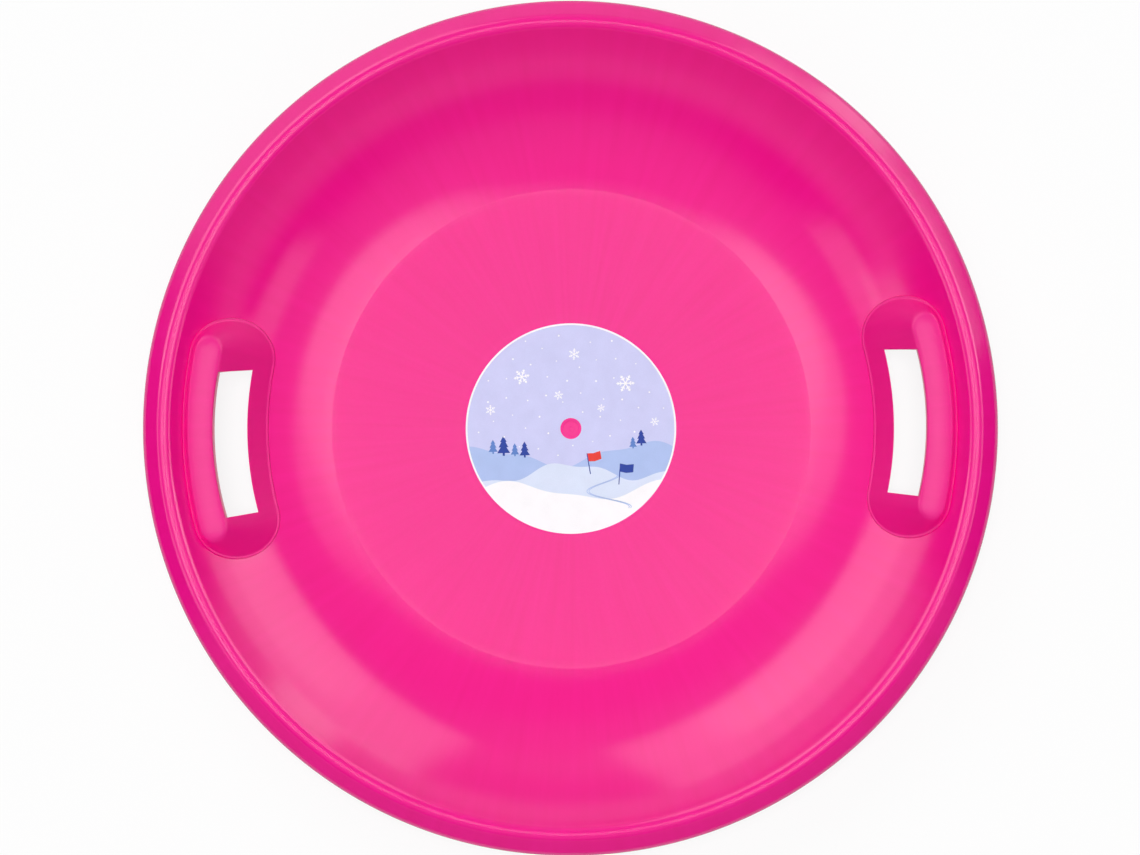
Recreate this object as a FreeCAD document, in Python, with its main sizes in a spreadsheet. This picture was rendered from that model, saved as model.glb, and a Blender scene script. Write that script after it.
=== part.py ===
import FreeCAD, Part
import math
import os
import Sketcher

# Saucer sled: a round moulded dish with a rolled rim, two clip-in handles and a round paper label.
# The origin is the centre of the base underside, +Z is up and the handles lie on the X axis.

# Driving sizes, lengths in millimetres and angles in degrees
driving_sizes = [
    # dish
    ("outer_radius", 300.0),        # over the rolled rim
    ("base_radius", 171.0),         # flat floor, out to the crease
    ("wall", 2.4),                  # dish wall
    ("flank_rise", 57.0),           # floor to the top of the flank
    ("flank_start_angle", 8.0),     # slope of the flank at the crease
    ("rim_width", 21.5),            # top of the flank to the outermost edge
    ("bead_radius", 8.0),           # rounded crest that turns the flank over
    ("rim_slope", 37.0),            # slope of the rim outside the crest
    ("roll_radius", 8.0),           # rounded outer edge of the rim
    ("skirt_height", 3.0),          # straight edge below the roll
    ("gate_radius", 5.5),           # moulding gate recess in the middle of the floor
    ("gate_depth", 0.5),
    ("pip_radius", 1.6),            # sheared-off gate pip
    ("pip_height", 0.4),
    # label
    ("label_radius", 75.2),
    ("label_hole_radius", 7.5),
    ("label_thickness", 0.2),
    # handle outline, a bean bent along the dish
    ("handle_bend_radius", 252.0),  # middle line of the bean
    ("handle_half_angle", 13.1),    # to the centre of each rounded end of the bean
    ("handle_half_width", 28.15),
    ("handle_offset", 16.35),       # grip spine in to the middle line of the bean
    # grip, a broad ridge that rises out of the flank
    ("grip_inset", 18.9),           # top of the flank in to the grip spine
    ("grip_half_angle", 13.4),      # to the centre of each rounded end of the ridge
    ("grip_drop", 5.6),             # top of the rim down to the crown of the grip
    ("grip_crown_radius", 40.0),    # shallow curve across the top of the ridge
    ("grip_crown_width", 16.0),     # between the rounded edges of the top
    ("grip_edge_radius", 6.0),      # rounded edges of the top
    ("grip_side_angle", 49.5),      # steepness of the sides of the ridge
    ("handle_wall", 2.4),
    # hand slot
    ("slot_inner_offset", 31.0),    # grip spine in to the inner edge of the slot
    ("slot_outer_offset", 9.5),     # grip spine in to the outer edge, at the middle
    ("slot_edge_radius", 213.0),    # curve of the outer edge
    ("slot_far_inner", 48.1),       # corners of the slot, along Y from the middle of the handle
    ("slot_far_outer", 46.6),
    ("slot_near_inner", 52.6),
    ("slot_near_outer", 55.8),
    ("lip_length", 150.0),          # finger lip, before it runs out in the ridge
    ("lip_depth", 14.0),            # crown down to the foot of the finger lip
    # seat of a handle in the dish
    ("bezel_thickness", 1.0),       # flange lying on the flank
    ("bezel_margin", 1.2),          # width of the flange kept clear of the ridge
    ("seat_gap", 0.1),
    ("hole_margin", 2.0),           # bezel outline in to the hole in the dish
    ("hole_clearance", 0.3),
    ("collar_wall", 2.2),           # collar that passes through the hole
    ("collar_drop", 2.5),           # collar below the underside of the dish
    ("hook_reach", 1.0),            # snap hooks past the edge of the hole
    ("hook_thickness", 1.6),
    ("hook_gap", 0.15),
    ("hook_width", 16.0),
    ("hook_angle", 7.0),            # hooks to either side of the middle of the handle
]

# Sizes that follow from them
derived_sizes = [
    ("flank_top_r", "Sizes.outer_radius - Sizes.rim_width"),
    ("flank_top_z", "Sizes.wall + Sizes.flank_rise"),
    ("flank_run", "Derived.flank_top_r - Sizes.base_radius"),
    ("start_sin", "sin(Sizes.flank_start_angle)"),
    ("start_cos", "cos(Sizes.flank_start_angle)"),
    ("flank_bow", "Sizes.flank_rise * Derived.start_cos - Derived.flank_run * Derived.start_sin"),
    ("flank_radius", "(Derived.flank_run^2 + Sizes.flank_rise^2) / (2 * Derived.flank_bow)"),
    ("flank_r", "Sizes.base_radius - Derived.flank_radius * Derived.start_sin"),
    ("flank_z", "Sizes.wall + Derived.flank_radius * Derived.start_cos"),
    ("top_sin", "(Derived.flank_top_r - Derived.flank_r) / Derived.flank_radius"),
    ("top_cos", "(Derived.flank_z - Derived.flank_top_z) / Derived.flank_radius"),
    ("bead_r", "Derived.flank_top_r + Sizes.bead_radius * Derived.top_sin"),
    ("bead_z", "Derived.flank_top_z - Sizes.bead_radius * Derived.top_cos"),
    ("rim_top", "Derived.bead_z + Sizes.bead_radius"),
    ("roll_r", "Sizes.outer_radius - Sizes.roll_radius"),
    ("slope_sin", "sin(Sizes.rim_slope)"),
    ("slope_cos", "cos(Sizes.rim_slope)"),
    ("slope_start_r", "Derived.bead_r + Sizes.bead_radius * Derived.slope_sin"),
    ("slope_end_r", "Derived.roll_r + Sizes.roll_radius * Derived.slope_sin"),
    ("slope_fall", "(Derived.slope_end_r - Derived.slope_start_r) * Derived.slope_sin / Derived.slope_cos"),
    ("roll_lift", "(Sizes.bead_radius - Sizes.roll_radius) * Derived.slope_cos"),
    ("roll_z", "Derived.bead_z + Derived.roll_lift - Derived.slope_fall"),
    ("underside_radius", "Derived.flank_radius + Sizes.wall"),
    ("base_under_r", "Derived.flank_r + sqrt(Derived.underside_radius^2 - Derived.flank_z^2)"),
    ("spine_r", "Derived.flank_top_r - Sizes.grip_inset"),
    ("handle_centre_x", "Derived.spine_r - Sizes.handle_offset - Sizes.handle_bend_radius"),
    ("spine_bend_radius", "Sizes.handle_bend_radius + Sizes.handle_offset"),
    ("crown_z", "Derived.rim_top - Sizes.grip_drop"),
    ("crown_centre_z", "Derived.crown_z - Sizes.grip_crown_radius"),
    ("crown_sin", "Sizes.grip_crown_width / (2 * Sizes.grip_crown_radius)"),
    ("crown_cos", "sqrt(1 - Derived.crown_sin^2)"),
    ("edge_span", "Sizes.grip_crown_radius - Sizes.grip_edge_radius"),
    ("edge_away", "Derived.edge_span * Derived.crown_sin"),
    ("edge_z", "Derived.crown_centre_z + Derived.edge_span * Derived.crown_cos"),
    ("side_sin", "sin(Sizes.grip_side_angle)"),
    ("side_cos", "cos(Sizes.grip_side_angle)"),
    ("slot_inner_r", "Derived.spine_r - Sizes.slot_inner_offset"),
    ("slot_centre_x", "Derived.spine_r - Sizes.slot_outer_offset - Sizes.slot_edge_radius"),
    ("grip_sweep", "2 * Sizes.grip_half_angle"),
    ("strip_sweep", "4 * Sizes.handle_half_angle"),
    ("collar_inset", "Sizes.hole_margin + Sizes.hole_clearance"),
    ("hollow_inset", "Derived.collar_inset + Sizes.collar_wall"),
    ("hook_inset", "Sizes.hole_margin - Sizes.hook_reach"),
    ("seat_radius", "Derived.flank_radius - Sizes.seat_gap"),
    ("bezel_radius", "Derived.seat_radius - Sizes.bezel_thickness"),
    ("boss_radius", "Derived.seat_radius - Sizes.bezel_thickness / 4"),
    ("collar_top_radius", "Derived.seat_radius - Sizes.bezel_thickness / 2"),
    ("collar_foot_radius", "Derived.underside_radius + Sizes.collar_drop"),
    ("hook_top_radius", "Derived.underside_radius + Sizes.hook_gap"),
    ("hook_foot_radius", "Derived.hook_top_radius + Sizes.hook_thickness"),
]

document = FreeCAD.newDocument("saucer_sled")
sizes = document.addObject("Spreadsheet::Sheet", "Sizes")
for row, (alias, number) in enumerate(driving_sizes, start=1):
    cell = "A%d" % row
    sizes.set(cell, str(number))
    sizes.setAlias(cell, alias)
document.recompute()

derived = document.addObject("App::VarSet", "Derived")
for name, formula in derived_sizes:
    derived.addProperty("App::PropertyFloat", name)
    derived.setExpression(name, formula)
    document.recompute()

upright = FreeCAD.Rotation(FreeCAD.Vector(1, 0, 0), 90)
up = FreeCAD.Vector(0, 0, 1)
start_point, end_point, centre_point = range(1, 4)
origin = (-1, 1)
horizontal_axis, vertical_axis = range(-1, -3, -1)


def value(formula):
    return float(derived.evalExpression(formula))


# Sketch helpers: each size that a sketch takes is bound to its formula


def bind(sketch, constraint, formula):
    index = sketch.addConstraint(constraint)
    sketch.setExpression("Constraints[%d]" % index, formula)


def place_x(sketch, geometry, point, formula):
    bind(sketch, Sketcher.Constraint("DistanceX", *origin, geometry, point, value(formula)), formula)


def place_y(sketch, geometry, point, formula):
    bind(sketch, Sketcher.Constraint("DistanceY", *origin, geometry, point, value(formula)), formula)


def place(sketch, geometry, point, x_formula, y_formula):
    place_x(sketch, geometry, point, x_formula)
    place_y(sketch, geometry, point, y_formula)


def place_corner(sketch, geometry, x_formula, y_formula):
    # The start of a line or arc, which may lie on an axis
    if x_formula == "0":
        sketch.addConstraint(Sketcher.Constraint("PointOnObject", geometry, start_point, vertical_axis))
    else:
        place_x(sketch, geometry, start_point, x_formula)
    if y_formula == "0":
        sketch.addConstraint(Sketcher.Constraint("PointOnObject", geometry, start_point, horizontal_axis))
    else:
        place_y(sketch, geometry, start_point, y_formula)


def set_radius(sketch, geometry, formula):
    bind(sketch, Sketcher.Constraint("Radius", geometry, value(formula)), formula)


def join(sketch, first, first_point, second, second_point, kind="Coincident"):
    sketch.addConstraint(Sketcher.Constraint(kind, first, first_point, second, second_point))


def add_line(sketch, start, end):
    return sketch.addGeometry(Part.LineSegment(FreeCAD.Vector(*start), FreeCAD.Vector(*end)), False)


def add_arc(sketch, centre, start, end, clockwise=False):
    # An arc about a centre from one point to another, both given as x and y
    if clockwise:
        start, end = end, start
    radius = math.dist(centre, start)
    angles = [math.atan2(p[1] - centre[1], p[0] - centre[0]) for p in (start, end)]
    if angles[1] < angles[0]:
        angles[1] += 2 * math.pi
    circle = Part.Circle(FreeCAD.Vector(*centre), up, radius)
    return sketch.addGeometry(Part.ArcOfCircle(circle, *angles), False)


def add_circle(sketch, centre, radius):
    return sketch.addGeometry(Part.Circle(FreeCAD.Vector(*centre), up, radius), False)


def body_sketch(body, name, plane_role):
    sketch = body.newObject("Sketcher::SketchObject", name)
    plane = [feature for feature in body.Origin.OriginFeatures if feature.Role == plane_role][0]
    sketch.AttachmentSupport = [(plane, "")]
    sketch.MapMode = "FlatFace"
    return sketch


def loose_sketch(name, standing):
    sketch = document.addObject("Sketcher::SketchObject", name)
    if standing:
        sketch.Placement = FreeCAD.Placement(FreeCAD.Vector(), upright)
    return sketch


# Solid helpers


def revolve(name, sketch, sweep_formula, symmetric=True):
    solid = document.addObject("Part::Revolution", name)
    solid.Source = sketch
    solid.Axis = up
    solid.Solid = True
    solid.Symmetric = symmetric
    solid.setExpression("Angle", sweep_formula)
    return solid


def extrude(name, sketch, height_formula):
    solid = document.addObject("Part::Extrusion", name)
    solid.Base = sketch
    solid.DirMode = "Custom"
    solid.Dir = up
    solid.Solid = True
    solid.setExpression("LengthFwd", height_formula)
    return solid


def mirror(name, source, normal):
    solid = document.addObject("Part::Mirroring", name)
    solid.Source = source
    solid.Normal = FreeCAD.Vector(*normal)
    return solid


def fuse(name, *shapes):
    solid = document.addObject("Part::MultiFuse", name)
    solid.Shapes = list(shapes)
    return solid


def common(name, *shapes):
    solid = document.addObject("Part::MultiCommon", name)
    solid.Shapes = list(shapes)
    return solid


def cut(name, base, tool):
    solid = document.addObject("Part::Cut", name)
    solid.Base = base
    solid.Tool = tool
    return solid


# Outlines that the dish and the handles share


def draw_bean(sketch, inset):
    # The outline of a handle seen from above about the centre of its bend, drawn in by an inset
    half_width = "(Sizes.handle_half_width - %s)" % inset
    mid = value("Sizes.handle_bend_radius")
    half = value(half_width)
    turn = math.radians(value("Sizes.handle_half_angle"))

    def polar(radius, angle):
        return (radius * math.cos(angle), radius * math.sin(angle))

    inner_arc = add_arc(sketch, (0, 0), polar(mid - half, -turn), polar(mid - half, turn))
    upper_end = add_arc(sketch, polar(mid, turn), polar(mid + half, turn), polar(mid - half, turn))
    outer_arc = add_arc(sketch, (0, 0), polar(mid + half, -turn), polar(mid + half, turn))
    lower_end = add_arc(sketch, polar(mid, -turn), polar(mid - half, -turn), polar(mid + half, -turn))
    join(sketch, inner_arc, end_point, upper_end, end_point, "Tangent")
    join(sketch, upper_end, start_point, outer_arc, end_point, "Tangent")
    join(sketch, outer_arc, start_point, lower_end, end_point, "Tangent")
    join(sketch, lower_end, start_point, inner_arc, start_point, "Tangent")
    join(sketch, inner_arc, centre_point, *origin)
    join(sketch, outer_arc, centre_point, *origin)
    set_radius(sketch, inner_arc, "Sizes.handle_bend_radius - %s" % half_width)
    set_radius(sketch, outer_arc, "Sizes.handle_bend_radius + %s" % half_width)
    end_height = "Sizes.handle_bend_radius * sin(Sizes.handle_half_angle)"
    place_y(sketch, upper_end, centre_point, end_height)
    below = Sketcher.Constraint("DistanceY", lower_end, centre_point, *origin, value(end_height))
    bind(sketch, below, end_height)


def bean_prism(name, inset):
    sketch = loose_sketch(name + "_outline", standing=False)
    draw_bean(sketch, inset)
    sketch.setExpression("Placement.Base.x", "Derived.handle_centre_x")
    return extrude(name, sketch, "2 * Derived.rim_top")


def flank_strip(name, upper_radius, lower_radius):
    # A layer that follows the flank between two radii of its section, on the right-hand side
    sketch = loose_sketch(name + "_section", standing=True)
    centre = (value("Derived.flank_r"), value("Derived.flank_z"))

    def on_ray(radius, which):
        return ("Derived.flank_r + %s * Derived.%s_sin" % (radius, which),
                "Derived.flank_z - %s * Derived.%s_cos" % (radius, which))

    corners = [on_ray(upper_radius, "start"), on_ray(lower_radius, "start"),
               on_ray(lower_radius, "top"), on_ray(upper_radius, "top")]
    points = [(value(x), value(z)) for x, z in corners]
    near_line = add_line(sketch, points[0], points[1])
    lower_arc = add_arc(sketch, centre, points[1], points[2])
    far_line = add_line(sketch, points[2], points[3])
    upper_arc = add_arc(sketch, centre, points[0], points[3])
    join(sketch, near_line, end_point, lower_arc, start_point)
    join(sketch, lower_arc, end_point, far_line, start_point)
    join(sketch, far_line, end_point, upper_arc, end_point)
    join(sketch, upper_arc, start_point, near_line, start_point)
    set_radius(sketch, lower_arc, lower_radius)
    set_radius(sketch, upper_arc, upper_radius)
    place(sketch, near_line, start_point, *corners[0])
    place(sketch, near_line, end_point, *corners[1])
    place(sketch, far_line, start_point, *corners[2])
    place(sketch, far_line, end_point, *corners[3])
    return revolve(name, sketch, "Derived.strip_sweep")


# Dish: one turned section, then the gate and the two handle holes


def draw_dish_section(sketch):
    base_r = value("Sizes.base_radius")
    wall = value("Sizes.wall")
    outer = value("Sizes.outer_radius")
    flank = (value("Derived.flank_r"), value("Derived.flank_z"))
    bead = (value("Derived.bead_r"), value("Derived.bead_z"))
    roll = (value("Derived.roll_r"), value("Derived.roll_z"))
    flank_top = (value("Derived.flank_top_r"), value("Derived.flank_top_z"))
    top_sin = value("Derived.top_sin")
    top_cos = value("Derived.top_cos")
    slope = (value("Derived.slope_sin"), value("Derived.slope_cos"))
    rim_foot = roll[1] - value("Sizes.skirt_height")
    under_top = (flank_top[0] + wall * top_sin, flank_top[1] - wall * top_cos)
    base_edge = (value("Derived.base_under_r"), 0)
    crease = (base_r, wall)

    def on_slope(centre, radius):
        return tuple(middle + radius * share for middle, share in zip(centre, slope))

    slope_start = on_slope(bead, value("Sizes.bead_radius"))
    slope_end = on_slope(roll, value("Sizes.roll_radius"))
    under_start = on_slope(bead, value("Sizes.bead_radius") - wall)
    under_end = on_slope(roll, value("Sizes.roll_radius") - wall)

    floor_under = add_line(sketch, (0, 0), base_edge)
    flank_under = add_arc(sketch, flank, base_edge, under_top)
    bead_under = add_arc(sketch, bead, under_top, under_start, clockwise=True)
    slope_under = add_line(sketch, under_start, under_end)
    roll_under = add_arc(sketch, roll, under_end, (outer - wall, roll[1]), clockwise=True)
    skirt_inside = add_line(sketch, (outer - wall, roll[1]), (outer - wall, rim_foot))
    skirt_foot = add_line(sketch, (outer - wall, rim_foot), (outer, rim_foot))
    skirt_outside = add_line(sketch, (outer, rim_foot), (outer, roll[1]))
    roll_top = add_arc(sketch, roll, (outer, roll[1]), slope_end)
    slope_top = add_line(sketch, slope_end, slope_start)
    bead_top = add_arc(sketch, bead, slope_start, flank_top)
    flank_upper = add_arc(sketch, flank, flank_top, crease, clockwise=True)
    floor_upper = add_line(sketch, crease, (0, wall))
    axis_line = add_line(sketch, (0, wall), (0, 0))

    join(sketch, floor_under, start_point, *origin)
    join(sketch, floor_under, end_point, flank_under, start_point)
    join(sketch, flank_under, end_point, bead_under, end_point, "Tangent")
    join(sketch, bead_under, start_point, slope_under, start_point, "Tangent")
    join(sketch, slope_under, end_point, roll_under, end_point, "Tangent")
    join(sketch, roll_under, start_point, skirt_inside, start_point, "Tangent")
    join(sketch, skirt_inside, end_point, skirt_foot, start_point)
    join(sketch, skirt_foot, end_point, skirt_outside, start_point)
    join(sketch, skirt_outside, end_point, roll_top, start_point, "Tangent")
    join(sketch, roll_top, end_point, slope_top, start_point, "Tangent")
    join(sketch, slope_top, end_point, bead_top, start_point, "Tangent")
    join(sketch, bead_top, end_point, flank_upper, end_point, "Tangent")
    join(sketch, flank_upper, start_point, floor_upper, start_point)
    join(sketch, floor_upper, end_point, axis_line, start_point)
    join(sketch, axis_line, end_point, floor_under, start_point)
    for level in (floor_under, skirt_foot, floor_upper):
        sketch.addConstraint(Sketcher.Constraint("Horizontal", level))
    sketch.addConstraint(Sketcher.Constraint("Parallel", slope_under, slope_top))
    for plumb in (skirt_inside, skirt_outside, axis_line):
        sketch.addConstraint(Sketcher.Constraint("Vertical", plumb))
    for under, upper in ((flank_under, flank_upper), (bead_under, bead_top), (roll_under, roll_top)):
        join(sketch, under, centre_point, upper, centre_point)
    place_x(sketch, skirt_outside, start_point, "Sizes.outer_radius")
    height = Sketcher.Constraint("DistanceY", skirt_outside, start_point, skirt_outside, end_point,
                                 value("Sizes.skirt_height"))
    bind(sketch, height, "Sizes.skirt_height")
    thickness = Sketcher.Constraint("DistanceX", skirt_foot, start_point, skirt_foot, end_point, wall)
    bind(sketch, thickness, "Sizes.wall")
    set_radius(sketch, roll_top, "Sizes.roll_radius")
    set_radius(sketch, bead_top, "Sizes.bead_radius")
    set_radius(sketch, flank_upper, "Derived.flank_radius")
    place(sketch, floor_upper, start_point, "Sizes.base_radius", "Sizes.wall")
    place(sketch, bead_top, end_point, "Derived.flank_top_r", "Derived.flank_top_z")
    place_x(sketch, slope_top, end_point, "Derived.slope_start_r")


def draw_centred_circle(sketch, radius_formula):
    circle = add_circle(sketch, (0, 0), value(radius_formula))
    join(sketch, circle, centre_point, *origin)
    set_radius(sketch, circle, radius_formula)


def lift(sketch, height_formula):
    sketch.setExpression("AttachmentOffset.Base.z", height_formula)


def build_dish():
    body = document.addObject("PartDesign::Body", "saucer_shell")
    section = body_sketch(body, "dish_section", "XZ_Plane")
    draw_dish_section(section)
    turned = body.newObject("PartDesign::Revolution", "turned_dish")
    turned.Profile = section
    turned.ReferenceAxis = (section, ["V_Axis"])
    turned.Angle = 360
    document.recompute()
    turned_volume = body.Shape.Volume

    gate_outline = body_sketch(body, "gate_outline", "XY_Plane")
    lift(gate_outline, "Sizes.wall")
    draw_centred_circle(gate_outline, "Sizes.gate_radius")
    gate = body.newObject("PartDesign::Pocket", "gate_recess")
    gate.Profile = gate_outline
    gate.setExpression("Length", "Sizes.gate_depth")
    document.recompute()

    pip_outline = body_sketch(body, "pip_outline", "XY_Plane")
    lift(pip_outline, "Sizes.wall - Sizes.gate_depth")
    draw_centred_circle(pip_outline, "Sizes.pip_radius")
    pip = body.newObject("PartDesign::Pad", "gate_pip")
    pip.Profile = pip_outline
    pip.setExpression("Length", "Sizes.pip_height")
    document.recompute()
    trimmed_volume = body.Shape.Volume

    hole_outline = body_sketch(body, "handle_hole_outline", "XY_Plane")
    hole_outline.setExpression("AttachmentOffset.Base.x", "Derived.handle_centre_x")
    draw_bean(hole_outline, "Sizes.hole_margin")
    hole = body.newObject("PartDesign::Pocket", "right_handle_hole")
    hole.Profile = hole_outline
    hole.Reversed = True
    hole.Type = "ThroughAll"
    document.recompute()
    one_hole_volume = body.Shape.Volume
    both = body.newObject("PartDesign::Mirrored", "left_handle_hole")
    both.Originals = [hole]
    mirror_plane = [feature for feature in body.Origin.OriginFeatures if feature.Role == "YZ_Plane"][0]
    both.MirrorPlane = (mirror_plane, [""])
    body.Tip = both
    document.recompute()
    steps = [turned_volume, trimmed_volume, one_hole_volume, body.Shape.Volume]
    if sorted(steps, reverse=True) != steps or len(set(steps)) != len(steps):
        raise RuntimeError("a cut in the dish removed nothing: %s" % steps)
    return body


# Handle: a hollow ridge on a thin flange, with a collar and snap hooks through the dish


def draw_ridge_section(sketch, shrink, half):
    # The section of the ridge about its spine, drawn in by a shrink, whole or the outer half only
    crown_radius = "(Sizes.grip_crown_radius - %s)" % shrink
    edge_radius = "(Sizes.grip_edge_radius - %s)" % shrink
    shoulder_away = "%s * Derived.crown_sin" % crown_radius
    shoulder_z = "Derived.crown_centre_z + %s * Derived.crown_cos" % crown_radius
    side_away = "Derived.edge_away + %s * Derived.side_sin" % edge_radius
    side_z = "Derived.edge_z + %s * Derived.side_cos" % edge_radius
    foot_away = "%s + (%s) * Derived.side_cos / Derived.side_sin" % (side_away, side_z)
    spine = "0" if half else "Derived.spine_bend_radius"

    def corner(away, height, sign):
        x_formula = "%s %s (%s)" % (spine, sign, away)
        return x_formula, height

    flight = [(shoulder_away, shoulder_z), (side_away, side_z), (foot_away, "0")]
    right = [corner(away, height, "+") for away, height in flight]
    if half:
        left = [(spine, "Derived.crown_z - %s" % shrink), (spine, "0")]
    else:
        left = [corner(away, height, "-") for away, height in flight]
    places = right[::-1] + left
    points = [(value(x), value(z)) for x, z in places]
    spine_x = value(spine)
    crown_centre = (spine_x, value("Derived.crown_centre_z"))
    edge_away = value("Derived.edge_away")
    edge_z = value("Derived.edge_z")

    right_side = add_line(sketch, points[0], points[1])
    right_edge = add_arc(sketch, (spine_x + edge_away, edge_z), points[1], points[2])
    crown = add_arc(sketch, crown_centre, points[2], points[3])
    outline = [right_side, right_edge, crown]
    edges = [right_edge]
    if not half:
        left_edge = add_arc(sketch, (spine_x - edge_away, edge_z), points[3], points[4])
        outline.append(left_edge)
        edges.append(left_edge)
    outline.append(add_line(sketch, points[-2], points[-1]))
    outline.append(add_line(sketch, points[-1], points[0]))
    for index, geometry in enumerate(outline):
        join(sketch, geometry, end_point, outline[(index + 1) % len(outline)], start_point)
    set_radius(sketch, crown, crown_radius)
    for edge in edges:
        set_radius(sketch, edge, edge_radius)
    for geometry, (x_formula, z_formula) in zip(outline, places):
        place_corner(sketch, geometry, x_formula, z_formula)


def build_ridge(name, shrink):
    run_section = loose_sketch(name + "_run_section", standing=True)
    draw_ridge_section(run_section, shrink, half=False)
    run = revolve(name + "_run", run_section, "Derived.grip_sweep")
    run.setExpression("Placement.Base.x", "Derived.handle_centre_x")

    end_section = loose_sketch(name + "_end_section", standing=True)
    draw_ridge_section(end_section, shrink, half=True)
    far_end = revolve(name + "_far_end", end_section, "180", symmetric=False)
    far_end.Placement = FreeCAD.Placement(FreeCAD.Vector(), FreeCAD.Rotation(up, 1))
    far_end.setExpression("Placement.Rotation.Angle", "Sizes.grip_half_angle")
    end_x = "Derived.handle_centre_x + Derived.spine_bend_radius * cos(Sizes.grip_half_angle)"
    far_end.setExpression("Placement.Base.x", end_x)
    far_end.setExpression("Placement.Base.y", "Derived.spine_bend_radius * sin(Sizes.grip_half_angle)")
    near_end = mirror(name + "_near_end", far_end, (0, 1, 0))
    return fuse(name, run, far_end, near_end)


def draw_band(sketch, inner_centre, inner_radius, outer_centre, outer_radius, far, near):
    # A curved band seen from above, between two arcs whose centres lie on the X axis. Its far and near
    # ends are straight, each given by how far its inner and its outer corner lie from that axis.
    arcs = ((inner_centre, inner_radius), (outer_centre, outer_radius))
    reach = "%s + sqrt(%s^2 - (%s)^2)"
    far_places = [(reach % (centre, radius, y), y) for (centre, radius), y in zip(arcs, far)]
    near_places = [(reach % (centre, radius, y), y) for (centre, radius), y in zip(arcs, near)]
    far_points = [(value(x), value(y)) for x, y in far_places]
    near_points = [(value(x), -value(y)) for x, y in near_places]
    edges = []
    for (centre, radius), far_point, near_point in zip(arcs, far_points, near_points):
        edge = add_arc(sketch, (value(centre), 0), near_point, far_point)
        set_radius(sketch, edge, radius)
        edges.append(edge)
    far_end = add_line(sketch, *far_points)
    near_end = add_line(sketch, *near_points)
    for edge, point in zip(edges, (start_point, end_point)):
        join(sketch, edge, end_point, far_end, point)
        join(sketch, edge, start_point, near_end, point)
    for point, far_place, near_place in zip((start_point, end_point), far_places, near_places):
        place(sketch, far_end, point, *far_place)
        place_x(sketch, near_end, point, near_place[0])
        below = Sketcher.Constraint("DistanceY", near_end, point, *origin, value(near_place[1]))
        bind(sketch, below, near_place[1])


def build_finger_lip(ridge):
    outline = loose_sketch("finger_lip_outline", standing=False)
    centre = "Derived.slot_centre_x"
    reach = ("Sizes.lip_length / 2", "Sizes.lip_length / 2")
    draw_band(outline, centre, "(Sizes.slot_edge_radius - Sizes.handle_wall)",
              centre, "(Sizes.slot_edge_radius + Sizes.handle_wall)", reach, reach)
    outline.setExpression("Placement.Base.z", "Derived.crown_z - Sizes.lip_depth")
    wall = extrude("finger_lip_wall", outline, "2 * Sizes.lip_depth")
    return common("finger_lip", wall, ridge)


def build_slot():
    outline = loose_sketch("slot_outline", standing=False)
    far = ("Sizes.slot_far_inner", "Sizes.slot_far_outer")
    near = ("Sizes.slot_near_inner", "Sizes.slot_near_outer")
    draw_band(outline, "0", "Derived.slot_inner_r",
              "Derived.slot_centre_x", "Sizes.slot_edge_radius", far, near)
    return extrude("slot", outline, "2 * Derived.rim_top")


def build_hooks():
    far_band = document.addObject("Part::Box", "hook_far_band")
    far_band.setExpression("Length", "Sizes.outer_radius")
    far_band.setExpression("Width", "Sizes.hook_width")
    far_band.setExpression("Height", "Derived.rim_top")
    far_band.Placement = FreeCAD.Placement(FreeCAD.Vector(), FreeCAD.Rotation(up, 1))
    far_band.setExpression("Placement.Rotation.Angle", "Sizes.hook_angle")
    far_band.setExpression("Placement.Base.x", "Sizes.hook_width / 2 * sin(Sizes.hook_angle)")
    far_band.setExpression("Placement.Base.y", "-Sizes.hook_width / 2 * cos(Sizes.hook_angle)")
    near_band = mirror("hook_near_band", far_band, (0, 1, 0))
    layer = flank_strip("hook_layer", "Derived.hook_top_radius", "Derived.hook_foot_radius")
    limit = bean_prism("hook_limit", "Derived.hook_inset")
    far_hooks = common("far_hooks", layer, limit, far_band)
    near_hooks = common("near_hooks", layer, limit, near_band)
    return far_hooks, near_hooks


def build_handles():
    ridge = build_ridge("ridge", "0")
    ridge_inside = build_ridge("ridge_inside", "Sizes.handle_wall")
    boss_block = common("boss_block", ridge, bean_prism("boss_limit", "Sizes.bezel_margin"))
    below_flank = flank_strip("below_flank", "Derived.boss_radius", "(2 * Derived.flank_radius)")
    boss = cut("boss", boss_block, below_flank)
    bezel_layer = flank_strip("bezel_layer", "Derived.bezel_radius", "Derived.seat_radius")
    bezel = common("bezel", bezel_layer, bean_prism("bezel_limit", "0"))
    collar_layer = flank_strip("collar_layer", "Derived.collar_top_radius", "Derived.collar_foot_radius")
    collar = common("collar", collar_layer, bean_prism("collar_limit", "Derived.collar_inset"))
    outside = fuse("handle_outside", boss, bezel, collar, *build_hooks())
    hollow = common("handle_hollow", ridge_inside, bean_prism("hollow_limit", "Derived.hollow_inset"))
    hollowed = cut("hollowed_handle", outside, hollow)
    lipped = fuse("lipped_handle", hollowed, build_finger_lip(ridge))
    right = cut("right_handle", lipped, build_slot())
    left = mirror("left_handle", right, (1, 0, 0))
    return right, left


# Label: a paper disc with a punched hole, stuck on the floor of the dish


def build_label():
    body = document.addObject("PartDesign::Body", "centre_label")
    outline = body_sketch(body, "label_outline", "XY_Plane")
    lift(outline, "Sizes.wall")
    draw_centred_circle(outline, "Sizes.label_radius")
    draw_centred_circle(outline, "Sizes.label_hole_radius")
    sheet = body.newObject("PartDesign::Pad", "label_sheet")
    sheet.Profile = outline
    sheet.setExpression("Length", "Sizes.label_thickness")
    return body


sub_parts = [build_dish(), *build_handles(), build_label()]
document.recompute()

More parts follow.
